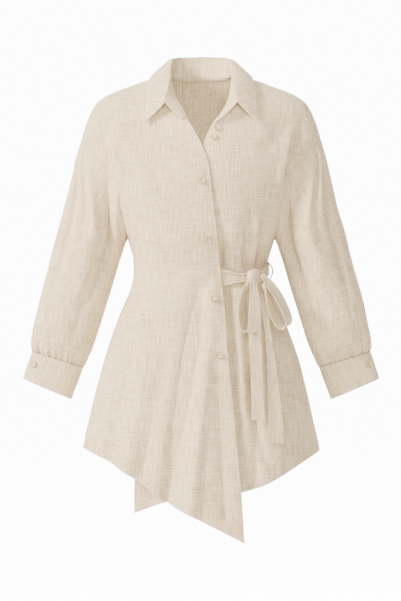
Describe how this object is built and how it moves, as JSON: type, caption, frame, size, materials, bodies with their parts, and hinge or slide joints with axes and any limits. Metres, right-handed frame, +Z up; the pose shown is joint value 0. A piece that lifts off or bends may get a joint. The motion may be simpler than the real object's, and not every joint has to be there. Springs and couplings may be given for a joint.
{
  "type": "belted shirt",
  "caption": "Hollow worn-form wrap shirt with a pointed overlapping front, collar, cuffed sleeves and a tie belt knotted in a bow at one side.",
  "frame": {"origin": "middle of the neck base, level with the shoulder seams, where the wearer's shoulders hold the shirt", "axes": "+Z up, -Y out of the front, +X to the wearer's left"},
  "size_m": [0.784, 0.3317, 1.059],
  "materials": {
    "linen": "oatmeal slub linen, plain weave, matt",
    "linen_double": "the same linen, two layers, topstitched",
    "thread": "matching sewing thread",
    "ivory_button": "ivory plastic, soft gloss"
  },
  "bodies": {
    "root": {"right_front": "linen", "left_front": "linen", "back": "linen", "right_sleeve": "linen", "left_sleeve": "linen", "right_cuff": "linen_double", "left_cuff": "linen_double", "collar_stand": "linen_double", "collar_leaf": "linen_double", "belt_front": "linen_double", "belt_around": "linen_double", "belt_knot": "linen_double", "bow_loop_right": "linen_double", "bow_loop_left": "linen_double", "tail_short": "linen_double", "tail_long": "linen_double", "belt_thread_loop": "thread", "front_button_1": "ivory_button", "front_button_2": "ivory_button", "front_button_3": "ivory_button", "front_button_4": "ivory_button", "neck_button_1": "ivory_button", "neck_button_2": "ivory_button", "right_cuff_button": "ivory_button", "left_cuff_button": "ivory_button"}
  },
  "joints": []
}
